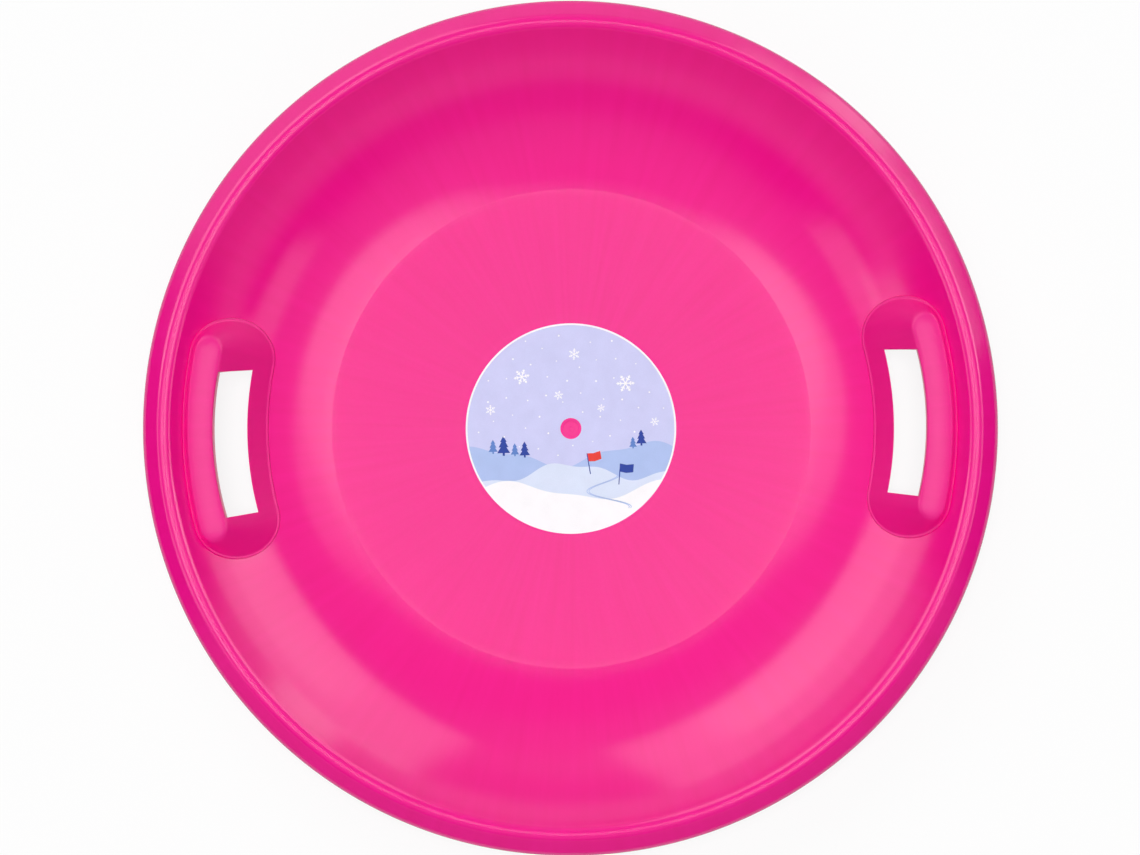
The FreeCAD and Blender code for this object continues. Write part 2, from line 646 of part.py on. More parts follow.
for item in document.Objects:
    if "Invalid" in item.State or "Error" in item.State:
        raise RuntimeError("%s failed: %s" % (item.Label, item.State))
for piece in sub_parts:
    if piece.Shape.isNull() or not piece.Shape.isValid() or len(piece.Shape.Solids) != 1:
        raise RuntimeError("%s has no sound solid" % piece.Label)

os.makedirs("parts", exist_ok=True)
for piece in sub_parts:
    piece.Shape.exportStep(os.path.join("parts", piece.Label + ".step"))
    box = piece.Shape.optimalBoundingBox(False)
    print("%s: %.1f cm3, x %.1f to %.1f, y %.1f to %.1f, z %.1f to %.1f" % (
        piece.Label, piece.Shape.Volume / 1000, box.XMin, box.XMax, box.YMin, box.YMax, box.ZMin, box.ZMax))
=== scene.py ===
import bpy
import math
from mathutils import Matrix, Vector


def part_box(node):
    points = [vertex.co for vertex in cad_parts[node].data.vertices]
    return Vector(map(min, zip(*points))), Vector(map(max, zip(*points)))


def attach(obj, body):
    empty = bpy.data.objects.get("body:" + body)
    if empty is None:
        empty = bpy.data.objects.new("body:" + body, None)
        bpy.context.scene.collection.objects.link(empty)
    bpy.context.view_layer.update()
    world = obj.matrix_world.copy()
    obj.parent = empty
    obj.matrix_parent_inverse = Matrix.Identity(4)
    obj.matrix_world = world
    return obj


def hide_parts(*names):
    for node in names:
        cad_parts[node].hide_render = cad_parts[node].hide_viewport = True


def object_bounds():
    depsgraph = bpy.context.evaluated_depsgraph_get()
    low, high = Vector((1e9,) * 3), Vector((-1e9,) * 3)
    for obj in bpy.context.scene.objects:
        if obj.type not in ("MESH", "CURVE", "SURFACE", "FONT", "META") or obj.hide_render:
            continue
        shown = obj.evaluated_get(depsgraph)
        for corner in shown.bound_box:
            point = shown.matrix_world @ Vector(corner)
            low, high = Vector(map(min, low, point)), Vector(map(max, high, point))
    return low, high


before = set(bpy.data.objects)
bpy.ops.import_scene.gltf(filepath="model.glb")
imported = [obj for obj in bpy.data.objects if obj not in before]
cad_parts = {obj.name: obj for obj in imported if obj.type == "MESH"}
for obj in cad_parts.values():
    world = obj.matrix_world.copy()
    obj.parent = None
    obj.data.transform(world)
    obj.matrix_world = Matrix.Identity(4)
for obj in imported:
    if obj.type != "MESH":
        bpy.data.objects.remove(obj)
cadLow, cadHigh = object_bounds()
mm = 0.001
weldGap = 0.002 * mm           # points closer than this are one
print("frame loaded:", sorted(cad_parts))


# small modelling helpers

def deselectAll():
    if bpy.context.object and bpy.context.object.mode != "OBJECT":
        bpy.ops.object.mode_set(mode="OBJECT")
    bpy.ops.object.select_all(action="DESELECT")


def pickPiece(piece):
    deselectAll()
    piece.select_set(True)
    bpy.context.view_layer.objects.active = piece


def editAll():
    bpy.ops.object.mode_set(mode="EDIT")
    bpy.ops.mesh.select_all(action="SELECT")


def nameActive(name):
    piece = bpy.context.object
    piece.name = name
    piece.data.name = name
    return piece


def drawOutline(name, points):
    # one vertex is walked from point to point by extruding it
    deselectAll()
    bpy.ops.mesh.primitive_plane_add(size=mm)
    outline = nameActive(name)
    editAll()
    bpy.ops.mesh.merge(type="CENTER")
    bpy.ops.transform.translate(value=points[0])
    for here, there in zip(points, points[1:]):
        step = Vector(there) - Vector(here)
        bpy.ops.mesh.extrude_vertices_move(TRANSFORM_OT_translate={"value": step})
    return outline


def spinRound(steps):
    editAll()
    bpy.ops.mesh.spin(steps=steps, angle=2 * math.pi, center=(0, 0, 0), axis=(0, 0, 1))


def closeSeams():
    editAll()
    bpy.ops.mesh.remove_doubles(threshold=weldGap)
    bpy.ops.mesh.normals_make_consistent(inside=False)
    bpy.ops.object.mode_set(mode="OBJECT")


def smoothByAngle(piece, degrees):
    pickPiece(piece)
    bpy.ops.object.shade_smooth_by_angle(angle=math.radians(degrees))


def applyModifier(piece, kind, **settings):
    pickPiece(piece)
    modifier = piece.modifiers.new(kind.title(), kind)
    for key, setting in settings.items():
        setattr(modifier, key, setting)
    bpy.ops.object.modifier_apply(modifier=modifier.name)


def joinPieces(name, pieces):
    deselectAll()
    for piece in pieces:
        piece.select_set(True)
    bpy.context.view_layer.objects.active = pieces[0]
    bpy.ops.object.join()
    return nameActive(name)


def copyPiece(piece, name):
    pickPiece(piece)
    bpy.ops.object.duplicate()
    return nameActive(name)


def applyPlace(piece):
    pickPiece(piece)
    bpy.ops.object.transform_apply(location=True, rotation=True, scale=True)


def arcPoints(centre, radius, fromAngle, toAngle, steps):
    angles = [fromAngle + (toAngle - fromAngle) * i / steps for i in range(steps + 1)]
    return [(centre[0] + radius * math.cos(a), centre[1] + radius * math.sin(a)) for a in angles]


# camera: straight over the sled, held a little to one side and turned a little, as the photo was taken

cameraView = {
    "frameWidth": 1140,          # pixels of the photo
    "rimRadius": 427.9,          # pixels from the middle of the sled to its rim
    "rimCentre": (569.2, 427.3),
    "frameCentre": (570.0, 427.5),
    "height": 2579 * mm,         # lens above the ground
    "widest": 13.7 * mm,         # top of the rim down to where it is widest
    "aside": (64 * mm, -49 * mm),   # lens from the middle of the sled
    "roll": 1.83,                # degrees
    "sensor": 36.0,              # mm
    "farthest": 100.0,           # m that the camera sees
}


def placeCamera(view):
    rimHeight = cadHigh.z - view["widest"]
    distance = view["height"] - rimHeight
    pixel = cadHigh.x / view["rimRadius"]
    bpy.ops.object.camera_add()
    camera = bpy.context.object
    camera.name = "photoCamera"
    camera.data.sensor_width = view["sensor"]
    camera.data.lens = view["sensor"] * distance / (view["frameWidth"] * pixel)
    camera.data.clip_end = view["farthest"]
    aim = Vector(((view["frameCentre"][0] - view["rimCentre"][0]) * pixel,
                  (view["rimCentre"][1] - view["frameCentre"][1]) * pixel, rimHeight))
    camera.location = Vector((view["aside"][0], view["aside"][1], view["height"]))
    away = (camera.location - aim).normalized()
    roll = math.radians(view["roll"])
    right = Vector((math.cos(roll), -math.sin(roll), 0))
    right = (right - away * right.dot(away)).normalized()
    camera.rotation_euler = Matrix((right, away.cross(right), away)).transposed().to_euler()
    bpy.context.scene.camera = camera


deselectAll()
placeCamera(cameraView)
print("camera placed")


# shell: one outline from the gate over the rim and back along the underside, turned round the middle

shellSize = {                    # mm and degrees
    "outerRadius": cadHigh.x / mm,
    "wall": 2.4,
    "baseRadius": 171.0,
    "creaseRound": 4.0,
    "flankStart": 8.0,
    "flankRise": 57.0,
    "rimWidth": 21.5,
    "crestRadius": 8.0,
    "rimSlope": 37.0,            # outside the crest
    "rollRadius": 8.0,           # outer edge of the rim
    "skirtHeight": 3.0,
    "footRound": 0.8,
    "gateRadius": 5.5,
    "gateDepth": 0.5,
    "gateFoot": 0.25,            # rounding at the foot of the gate's wall
    "gateDraft": 0.05,           # lean of that wall
    "gateSoft": 0.15,            # height of its roundings
    "gateLip": 0.2,              # rounding at its top
    "pipRadius": 1.6,
    "pipHeight": 0.4,
    "pipSoft": 0.1,
    "pipShares": (0.6, 0.9, 1.1),  # of its radius: flat top, shoulder and foot
    "flankEase": 1.04,           # share of its first angle at which the flank's arc starts
    "turnSteps": 288,
    "smoothAngle": 32,
    "arcSteps": {"crease": 4, "flank": 48, "crest": 24, "roll": 16, "foot": 4,
                 "underRoll": 10, "underCrest": 14, "underFlank": 40},
    "floorRings": (0.12, 0.3, 0.5, 0.7, 0.85, 0.95, 0.985),   # shares of the way from gate to crease
    "underRings": (0.98, 0.9, 0.6, 0.3, 0.08),                # shares of the base's radius
}

flankStart = math.radians(shellSize["flankStart"])
flankTopRadius = shellSize["outerRadius"] - shellSize["rimWidth"]
flankRun = flankTopRadius - shellSize["baseRadius"]
flankLean = shellSize["flankRise"] * math.cos(flankStart) - flankRun * math.sin(flankStart)
flankRadius = (flankRun ** 2 + shellSize["flankRise"] ** 2) / (2 * flankLean)
flankCentre = (shellSize["baseRadius"] - flankRadius * math.sin(flankStart),
               shellSize["wall"] + flankRadius * math.cos(flankStart))
flankEnd = math.asin((flankTopRadius - flankCentre[0]) / flankRadius)


def flankHeight(radius, lift=0.0):
    # height of the flank's upper face in mm, or of a face that lies lift above it
    return flankCentre[1] - math.sqrt((flankRadius - lift) ** 2 - (radius - flankCentre[0]) ** 2)


def shellOutline(size):
    wall = size["wall"]
    outer = size["outerRadius"]
    quarter = math.pi / 2
    down = -quarter                                    # angle at the lowest point of the flank's circle
    slope = math.radians(size["rimSlope"])
    crest = (flankTopRadius + size["crestRadius"] * math.sin(flankEnd),
             wall + size["flankRise"] - size["crestRadius"] * math.cos(flankEnd))
    rollX = outer - size["rollRadius"]
    slopeRun = rollX - crest[0] + (size["rollRadius"] - size["crestRadius"]) * math.sin(slope)
    slopeFall = slopeRun * math.tan(slope)
    roll = (rollX, crest[1] + (size["crestRadius"] - size["rollRadius"]) * math.cos(slope) - slopeFall)
    foot = roll[1] - size["skirtHeight"]
    gateFloor = wall - size["gateDepth"]
    pipTop = gateFloor + size["pipHeight"]
    gate = size["gateRadius"]
    pip = size["pipRadius"]
    pipFlat, pipShoulder, pipFoot = size["pipShares"]
    steps = size["arcSteps"]
    outline = [(0, pipTop), (pipFlat * pip, pipTop), (pipShoulder * pip, pipTop - size["pipSoft"]),
               (pip, gateFloor + size["pipSoft"]), (pipFoot * pip, gateFloor)]
    outline += [(gate - size["gateFoot"], gateFloor),
                (gate - size["gateDraft"], gateFloor + size["gateSoft"]),
                (gate, wall - size["gateSoft"]), (gate + size["gateLip"], wall)]
    bend = size["creaseRound"]
    floorEnd = size["baseRadius"] - bend * math.tan(flankStart / 2)
    outline += [(gate + (floorEnd - gate) * share, wall) for share in size["floorRings"]]
    outline += arcPoints((floorEnd, wall + bend), bend, down, down + flankStart, steps["crease"])
    flankFrom = down + size["flankEase"] * flankStart
    outline += arcPoints(flankCentre, flankRadius, flankFrom, down + flankEnd, steps["flank"])
    outline += arcPoints(crest, size["crestRadius"], quarter + flankEnd, quarter - slope,
                         steps["crest"])[1:]
    outline += arcPoints(roll, size["rollRadius"], quarter - slope, 0, steps["roll"])
    soft = size["footRound"]
    outline += arcPoints((outer - soft, foot + soft), soft, 0, -quarter, steps["foot"])
    outline += arcPoints((outer - wall + soft, foot + soft), soft, -quarter, -math.pi, steps["foot"])
    outline += arcPoints(roll, size["rollRadius"] - wall, 0, quarter - slope, steps["underRoll"])
    outline += arcPoints(crest, size["crestRadius"] - wall, quarter - slope, quarter + flankEnd,
                         steps["underCrest"])
    under = flankRadius + wall
    underStart = math.acos(flankCentre[1] / under)
    outline += arcPoints(flankCentre, under, down + flankEnd, down + underStart, steps["underFlank"])[1:]
    outline += [(size["baseRadius"] * share, 0) for share in size["underRings"]]
    outline.append((0, 0))
    return [(r * mm, 0, z * mm) for r, z in outline]


def turnShell(size):
    shell = drawOutline("saucer_dish", shellOutline(size))
    spinRound(size["turnSteps"])
    closeSeams()
    return shell


shell = turnShell(shellSize)
print("shell turned:", len(shell.data.polygons), "faces")


# handles: a section that runs round the hand slot, from the slot's edge over the ridge to the flange,
# down the collar and back under the roof

rimTop = cadHigh.z / mm
handleSize = {                   # mm and degrees
    "gripInset": 18.9,           # top of the flank in to the middle of the grip bar
    "bendOffset": 16.35,         # and on in to the middle line of the bean
    "bendRadius": 252.0,         # of that middle line
    "halfAngle": 13.1,
    "halfWidth": 28.15,
    "gripHalfAngle": 13.4,
    "crown": rimTop - 5.6,       # top of the grip bar
    "crownRadius": 40.0,         # shallow curve across it
    "crownWidth": 16.0,
    "edgeRadius": 6.0,           # rounded edges of the bar
    "sideAngle": 49.5,
    "sideBlend": 1.6,            # softness between the sides and the ridge's foot
    "footBlend": 0.8,            # and between the foot and the flange
    "footSlope": 2.6,            # steepest rise of the foot from the flange
    "wall": 2.4,
    "leastWall": 2.0,            # under the ridge's foot
    "slotInner": 31.0,           # middle of the grip bar in to the slot's edges
    "slotOuter": 9.5,
    "slotEdgeRadius": 213.0,
    "slotFar": (48.1, 46.6),     # inner and outer corner of each end of the slot
    "slotNear": (52.6, 55.8),
    "slotRound": 0.8,
    "lipDepth": 14.0,
    "lipSoft": 0.5,              # rounding of the finger lip's edge
    "lipGap": 0.1,               # end of the roof to the lip
    "flange": 1.0,
    "flangeMargin": 1.3,
    "flangeRound": 0.8,
    "flangeEdge": 0.3,           # upright part of its edge
    "flangeSoft": 0.15,          # its edge in to its underside
    "flangeMiddle": 1.2,
    "seatGap": 0.1,
    "shoulderInset": 6.0,        # bean outline in to where the ridge's foot begins
    "footInsets": (5.2, 4.5, 3.9, 3.4, 2.9, 2.4, 2.0, 1.6, 1.3, 1.0),
    "holeInset": 2.0,
    "collarInset": 2.3,
    "collarWall": 2.2,
    "collarDrop": 2.5,
    "collarSoft": 0.4,
    "longSteps": 80,             # points along the long sides and round the ends
    "endSteps": 48,
    "ridgeSteps": 24,            # points of the section
    "roofSteps": 14,
    "slotRoundSteps": 5,
    "flangeRoundSteps": 4,
    "smoothAngle": 40,
    "hookAngle": 7.0,
    "hookHalfWidth": 8.0,
    "hookReach": 1.0,
    "hookGap": 0.15,
    "hookThickness": 1.6,
    "hookSink": 0.4,             # root of the hook inside the collar
    "hookSlant": 0.7,            # its tip slopes back by this much
    "hookRound": 0.25,
}
gripSpine = flankTopRadius - handleSize["gripInset"]
spineRadius = handleSize["bendRadius"] + handleSize["bendOffset"]
bendX = gripSpine - spineRadius                        # centre of the bend


def softMin(a, b, blend):
    return 0.5 * (a + b - math.hypot(a - b, blend))


def softMax(a, b, blend):
    return 0.5 * (a + b + math.hypot(a - b, blend))


def mixPoints(a, b, share):
    return tuple(p + (q - p) * share for p, q in zip(a, b))


def beanPoint(side, share, inset):
    # a point of the bean outline, or of the outline inset from it, going round once
    size = handleSize
    half = math.radians(size["halfAngle"])
    if side in ("outer", "inner"):
        turn = half * (2 * share - 1) * (1 if side == "outer" else -1)
        reach = size["halfWidth"] - inset
        radius = size["bendRadius"] + (reach if side == "outer" else -reach)
        return bendX + radius * math.cos(turn), radius * math.sin(turn)
    sign = 1 if side == "far" else -1
    endX = bendX + size["bendRadius"] * math.cos(half)
    endY = sign * size["bendRadius"] * math.sin(half)
    turn = half + math.pi * share if side == "far" else math.pi - half + math.pi * share
    return (endX + (size["halfWidth"] - inset) * math.cos(turn),
            endY + (size["halfWidth"] - inset) * math.sin(turn))


def slotPoint(side, share):
    size = handleSize
    inner = gripSpine - size["slotInner"]
    edge = size["slotEdgeRadius"]
    edgeX = gripSpine - size["slotOuter"] - edge
    if side == "outer":
        near, far = -math.asin(size["slotNear"][1] / edge), math.asin(size["slotFar"][1] / edge)
        turn = near + (far - near) * share
        return edgeX + edge * math.cos(turn), edge * math.sin(turn)
    if side == "inner":
        near, far = -math.asin(size["slotNear"][0] / inner), math.asin(size["slotFar"][0] / inner)
        turn = far + (near - far) * share
        return inner * math.cos(turn), inner * math.sin(turn)
    if side == "far":
        return mixPoints(slotPoint("outer", 1), slotPoint("inner", 0), share)
    return mixPoints(slotPoint("inner", 1), slotPoint("outer", 0), share)


def nearestOnBend(x, y, radius, halfAngle):
    turn = math.atan2(y, x - bendX)
    turn = max(-halfAngle, min(halfAngle, turn))
    return math.hypot(x - bendX - radius * math.cos(turn), y - radius * math.sin(turn))


def ridgeHeight(x, y, shrink=0.0):
    # a shallow crown, rounded edges and straight sides, about the middle line of the grip bar
    size = handleSize
    side = math.radians(size["sideAngle"])
    away = nearestOnBend(x, y, spineRadius, math.radians(size["gripHalfAngle"]))
    crownCentre = size["crown"] - size["crownRadius"]
    lean = math.asin(0.5 * size["crownWidth"] / size["crownRadius"])
    edgeAway = (size["crownRadius"] - size["edgeRadius"]) * math.sin(lean)
    edgeCentre = crownCentre + (size["crownRadius"] - size["edgeRadius"]) * math.cos(lean)
    crownRadius = size["crownRadius"] - shrink
    edgeRadius = size["edgeRadius"] - shrink
    if away < crownRadius * math.sin(lean):
        return crownCentre + math.sqrt(crownRadius ** 2 - away ** 2)
    sideAway = edgeAway + edgeRadius * math.sin(side)
    if away < sideAway:
        return edgeCentre + math.sqrt(edgeRadius ** 2 - (away - edgeAway) ** 2)
    return edgeCentre + edgeRadius * math.cos(side) - (away - sideAway) * math.tan(side)


def topHeight(x, y):
    size = handleSize
    inset = size["halfWidth"] - nearestOnBend(x, y, size["bendRadius"], math.radians(size["halfAngle"]))
    flange = flankHeight(math.hypot(x, y), size["seatGap"] + size["flange"])
    # the foot of the ridge stays on the flange
    limit = flange + size["footSlope"] * max(inset - size["flangeMargin"], 0)
    return softMax(flange, softMin(ridgeHeight(x, y), limit, size["sideBlend"]), size["footBlend"])


def roofHeight(x, y):
    size = handleSize
    return softMin(ridgeHeight(x, y, size["wall"]), topHeight(x, y) - size["leastWall"], size["footBlend"])


def bendOver(start, corner, end, steps):
    # a rounded corner as a quadratic curve
    points = []
    for i in range(steps + 1):
        t = i / steps
        points.append(mixPoints(mixPoints(start, corner, t), mixPoints(corner, end, t), t))
    return points


def handleSection(side, share):
    size = handleSize
    slot = slotPoint(side, share)
    shoulder = beanPoint(side, share, size["shoulderInset"])
    span = math.dist(slot, shoulder)
    seatLift = size["seatGap"]
    footLift = -(shellSize["wall"] + size["collarDrop"])

    def alongSpan(distance):
        return mixPoints(slot, shoulder, distance / span)

    def lifted(plan, height):
        return plan[0], plan[1], height

    def seat(inset, lift):
        plan = beanPoint(side, share, inset)
        return lifted(plan, flankHeight(math.hypot(*plan), lift))

    soft = size["slotRound"]
    edgeTop = topHeight(*slot)
    soften = alongSpan(soft)
    section = bendOver(lifted(slot, edgeTop - soft), lifted(slot, edgeTop),
                       lifted(soften, topHeight(*soften)), size["slotRoundSteps"])
    steps = size["ridgeSteps"]
    for i in range(1, steps + 1):
        plan = alongSpan(soft + (span - soft) * i / steps)
        section.append(lifted(plan, topHeight(*plan)))
    for inset in size["footInsets"]:
        plan = beanPoint(side, share, inset)
        section.append(lifted(plan, topHeight(*plan)))
    rim = beanPoint(side, share, 0)
    lastPlan = beanPoint(side, share, size["flangeRound"])
    section += bendOver(lifted(lastPlan, topHeight(*lastPlan)), lifted(rim, topHeight(*rim)),
                        lifted(rim, seat(0, seatLift)[2] + size["flangeEdge"]), size["flangeRoundSteps"])
    collar = size["collarInset"]
    hollow = collar + size["collarWall"]
    ease = size["collarSoft"]
    section += [seat(inset, seatLift) for inset in (size["flangeSoft"], size["flangeMiddle"], collar)]
    section += [seat(collar, 0.5 * footLift), seat(collar, footLift + ease), seat(collar + ease, footLift),
                seat(hollow - ease, footLift), seat(hollow, footLift + ease)]
    wallPlan = beanPoint(side, share, hollow)
    wallTop = roofHeight(*wallPlan)
    wallFoot = section[-1][2]
    section += [lifted(wallPlan, wallFoot + (wallTop - wallFoot) * part) for part in (0.5, 1.0)]
    steps = size["roofSteps"]
    for i in range(1, steps + 1):
        plan = mixPoints(wallPlan, alongSpan(size["wall"] + size["lipGap"]), i / steps)
        section.append(lifted(plan, roofHeight(*plan)))
    ease = size["lipSoft"]
    for distance, rise in ((size["wall"], ease), (size["wall"] - ease, 0.0), (ease, 0.0), (0.0, ease)):
        plan = alongSpan(distance)
        section.append(lifted(plan, min(size["crown"] - size["lipDepth"] + rise, roofHeight(*plan))))
    lipTop = section[-1][2]
    wallTop = section[0][2]
    section += [lifted(slot, lipTop + (wallTop - lipTop) * part) for part in (0.3, 0.6, 0.85)]
    return [(x * mm, y * mm, z * mm) for x, y, z in section]


def roundBean(longSteps, endSteps):
    # once round the bean outline, as the name of each side and the share of the way along it
    sides = (("outer", longSteps), ("far", endSteps), ("inner", longSteps), ("near", endSteps))
    return [(side, i / steps) for side, steps in sides for i in range(steps)]


def handleSections(size):
    return [handleSection(side, share) for side, share in roundBean(size["longSteps"], size["endSteps"])]


def wrapSections(name, sections):
    # a grid is wrapped round: one direction goes round the slot, the other round the section
    around = len(sections)
    across = len(sections[0])
    deselectAll()
    bpy.ops.mesh.primitive_grid_add(x_subdivisions=around, y_subdivisions=across, size=1)
    piece = nameActive(name)
    for vertex in piece.data.vertices:
        place = round((vertex.co.x + 0.5) * around) % around
        step = round((vertex.co.y + 0.5) * across) % across
        vertex.co = sections[place][step]
    closeSeams()
    return piece


def snapHook(side, centreAngle):
    # a small latch under the dish: a cube whose corners go to the collar and past the hole's edge
    size = handleSize
    half = math.radians(size["halfAngle"])
    reachAngle = math.degrees(size["hookHalfWidth"] / size["bendRadius"])
    top = -(shellSize["wall"] + size["hookGap"])
    deselectAll()
    bpy.ops.mesh.primitive_cube_add(size=2)
    hook = nameActive("snap_hook")
    for vertex in hook.data.vertices:
        turn = math.radians(centreAngle + reachAngle * vertex.co.y)
        share = 0.5 + 0.5 * turn / half * (1 if side == "outer" else -1)
        out = vertex.co.x > 0
        low = vertex.co.z < 0
        inset = size["collarInset"] + size["hookSink"]
        if out:
            inset = size["holeInset"] - size["hookReach"] + (size["hookSlant"] if low else 0)
        plan = beanPoint(side, share, inset)
        height = flankHeight(math.hypot(*plan), top - (size["hookThickness"] if low else 0))
        vertex.co = (plan[0] * mm, plan[1] * mm, height * mm)
    applyModifier(hook, "BEVEL", width=size["hookRound"] * mm, segments=2)
    closeSeams()
    return hook


def handleHole(size):
    around = roundBean(size["longSteps"] // 2, size["endSteps"] // 2)
    outline = [beanPoint(side, share, size["holeInset"]) for side, share in around]
    outline.append(outline[0])
    cutter = drawOutline("hole_cutter", [(x * mm, y * mm, 0) for x, y in outline])
    editAll()
    bpy.ops.mesh.remove_doubles(threshold=weldGap)
    bpy.ops.mesh.edge_face_add()
    bpy.ops.mesh.extrude_region_move(TRANSFORM_OT_translate={"value": (0, 0, cadHigh.z)})
    closeSeams()
    return cutter


def mirrorPiece(piece, name):
    twin = copyPiece(piece, name)
    bpy.ops.transform.resize(value=(-1, 1, 1), center_override=(0, 0, 0))
    applyPlace(twin)
    closeSeams()
    return twin


rightHandle = wrapSections("grip_right", handleSections(handleSize))
hooks = [snapHook(side, angle) for side in ("outer", "inner")
         for angle in (-handleSize["hookAngle"], handleSize["hookAngle"])]
rightHandle = joinPieces("grip_right", [rightHandle] + hooks)
leftHandle = mirrorPiece(rightHandle, "grip_left")
print("handles wrapped:", len(rightHandle.data.polygons), "faces each")

rightCutter = handleHole(handleSize)
leftCutter = mirrorPiece(rightCutter, "hole_cutter_left")
for cutter in (rightCutter, leftCutter):
    applyModifier(shell, "BOOLEAN", operation="DIFFERENCE", object=cutter, solver="EXACT")
    bpy.data.objects.remove(cutter)
smoothByAngle(shell, shellSize["smoothAngle"])
for handle in (rightHandle, leftHandle):
    smoothByAngle(handle, handleSize["smoothAngle"])
print("handle holes cut")


# label: a paper disc with a punched hole, and a winter print in thin layers of ink

labelLow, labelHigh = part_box("centre_label")
labelSize = {                    # mm
    "radius": labelHigh.x / mm,
    "bottom": labelLow.z / mm,
    "top": labelHigh.z / mm,
    "hole": 7.5,
    "edgeRound": 0.05,
    "ink": 0.012,
    "border": 1.3,
    "borderGap": 0.1,            # bare paper outside the border
    "rings": (0.1, 0.4, 0.7, 0.9),   # shares of the way from the hole to the edge
    "steps": 180,
    "smoothAngle": 30,
}


def turnLabel(size):
    low, high, soft = size["bottom"], size["top"], size["edgeRound"]
    radii = [size["hole"] + (size["radius"] - size["hole"]) * share for share in size["rings"]]
    outline = [(size["hole"], low), (size["hole"], high - soft), (size["hole"] + soft, high)]
    outline += [(r, high) for r in radii]
    outline += [(size["radius"] - soft, high), (size["radius"], high - soft), (size["radius"], low)]
    outline += [(r, low) for r in reversed(radii)] + [(size["hole"], low)]
    paper = drawOutline("label_paper", [(r * mm, 0, z * mm) for r, z in outline])
    spinRound(size["steps"])
    closeSeams()
    smoothByAngle(paper, size["smoothAngle"])
    return paper


def raiseInk(layer):
    rise = labelSize["ink"] * layer * mm
    bpy.ops.mesh.extrude_region_move(TRANSFORM_OT_translate={"value": (0, 0, rise)})
    closeSeams()


def inkShape(name, outline, layer):
    # a closed flat outline in mm, filled and given the thickness of its layer of ink
    base = labelSize["top"]
    closed = list(outline) + [outline[0]]
    shape = drawOutline(name, [(x * mm, y * mm, base * mm) for x, y in closed])
    editAll()
    bpy.ops.mesh.remove_doubles(threshold=weldGap)
    bpy.ops.mesh.edge_face_add()
    raiseInk(layer)
    return shape


def placeInk(shape, name, x, y, turn=0.0, scale=1.0):
    copy = copyPiece(shape, name)
    copy.scale = (scale, scale, 1)
    copy.rotation_euler.z = math.radians(turn)
    copy.location = (x * mm, y * mm, 0)
    applyPlace(copy)
    return copy


labelPaper = turnLabel(labelSize)
print("label turned")


# label print: rolling hills, pines, two course flags with ski tracks, snowflakes and falling snow

printSize = {                    # mm and degrees, the label's centre being the origin
    "hills": (                   # colour, mean height, two waves as (height, length, shift)
        ("iceBlue", -19.0, (7.0, 118.0, 22.0), (2.2, 47.0, 5.0)),
        ("paleBlue", -31.0, (6.0, 104.0, -30.0), (1.8, 39.0, 12.0)),
        ("snowWhite", -44.0, (6.5, 126.0, 48.0), (1.6, 52.0, -8.0)),
    ),
    "pines": (                   # colour, x, height above the first hill's crest, scale
        ("midBlue", -56.0, 0.2, 1.15), ("navy", -48.5, 0.6, 1.6), ("midBlue", -40.5, 0.0, 1.05),
        ("navy", -33.5, 0.2, 1.3), ("midBlue", 44.0, 0.0, 0.95), ("navy", 50.0, 0.4, 1.3),
    ),
    "hillStep": 1.5,
    "hillEdgeSteps": 60,
    "flags": (("redOrange", 13.0, -33.0, 8.0), ("navy", 33.0, -41.0, -6.0)),   # colour, x, y, lean
    "pole": ((-0.35, 0), (0.35, 0), (0.35, 15), (-0.35, 15)),
    "cloth": ((0.35, 15), (4.5, 14.4), (9.6, 15.2), (9.6, 9.4), (4.5, 8.6), (0.35, 9.2)),
    "trackTop": (24.0, -27.0),
    "trackFall": 31.0,
    "trackSwing": (8.0, 9.0),    # to each side at the top, and what it gains on the way down
    "trackWinds": 2.6,           # half turns
    "trackGap": 0.7,             # half the distance between the two lines
    "trackHalf": 0.28,           # half the width of a line
    "trackSteps": 40,
    "flakes": (                  # x, y, scale, turn
        (-34.0, 38.0, 1.7, 10.0), (4.0, 53.0, 1.25, 25.0), (40.0, 31.0, 1.95, 0.0), (-8.0, 24.0, 1.0, 15.0),
        (-57.0, 15.0, 1.1, 30.0), (22.0, 14.0, 0.85, 20.0), (60.0, 3.0, 0.95, 8.0),
    ),
    "snowCount": 84,
    "snowTurn": 137.508,         # degrees from one speck of snow to the next
    "snowEdge": 71.0,
    "speckRadius": 0.55,
    "speckScale": (0.75, 1.25),
    "speckSizes": 5,
    "speckCorners": 8,
    "clearOfHole": 10.0,
    "clearOfFlake": 4.5,         # for a snowflake of scale 1
    "clearOfHill": 2.0,
    "layers": {"track": 4, "pine": 4, "flake": 4, "pole": 5, "speck": 5, "cloth": 6, "border": 6},
}


def waveHeight(x, hill):
    colour, level, *waves = hill
    return level + sum(high * math.sin(2 * math.pi * (x - shift) / length) for high, length, shift in waves)


def hillOutline(hill):
    # the crest from left to right inside the label, then back along the label's edge
    edge = labelSize["radius"] - 0.5 * labelSize["border"]
    step = printSize["hillStep"]
    xs = [-edge + step * i for i in range(round(2 * edge / step) + 1)]
    crest = [(x, waveHeight(x, hill)) for x in xs if math.hypot(x, waveHeight(x, hill)) < edge]
    fromAngle = math.atan2(crest[-1][1], crest[-1][0])
    toAngle = math.atan2(crest[0][1], crest[0][0])
    if toAngle > fromAngle:
        toAngle -= 2 * math.pi
    return crest + arcPoints((0, 0), edge, fromAngle, toAngle, printSize["hillEdgeSteps"])


def pineOutline():
    half = [(0, 7.6), (1.5, 5.0), (0.9, 5.0), (2.2, 2.6), (1.3, 2.6), (2.9, 0), (0.5, 0), (0.5, -1.2)]
    return half + [(-x, y) for x, y in reversed(half[1:])]


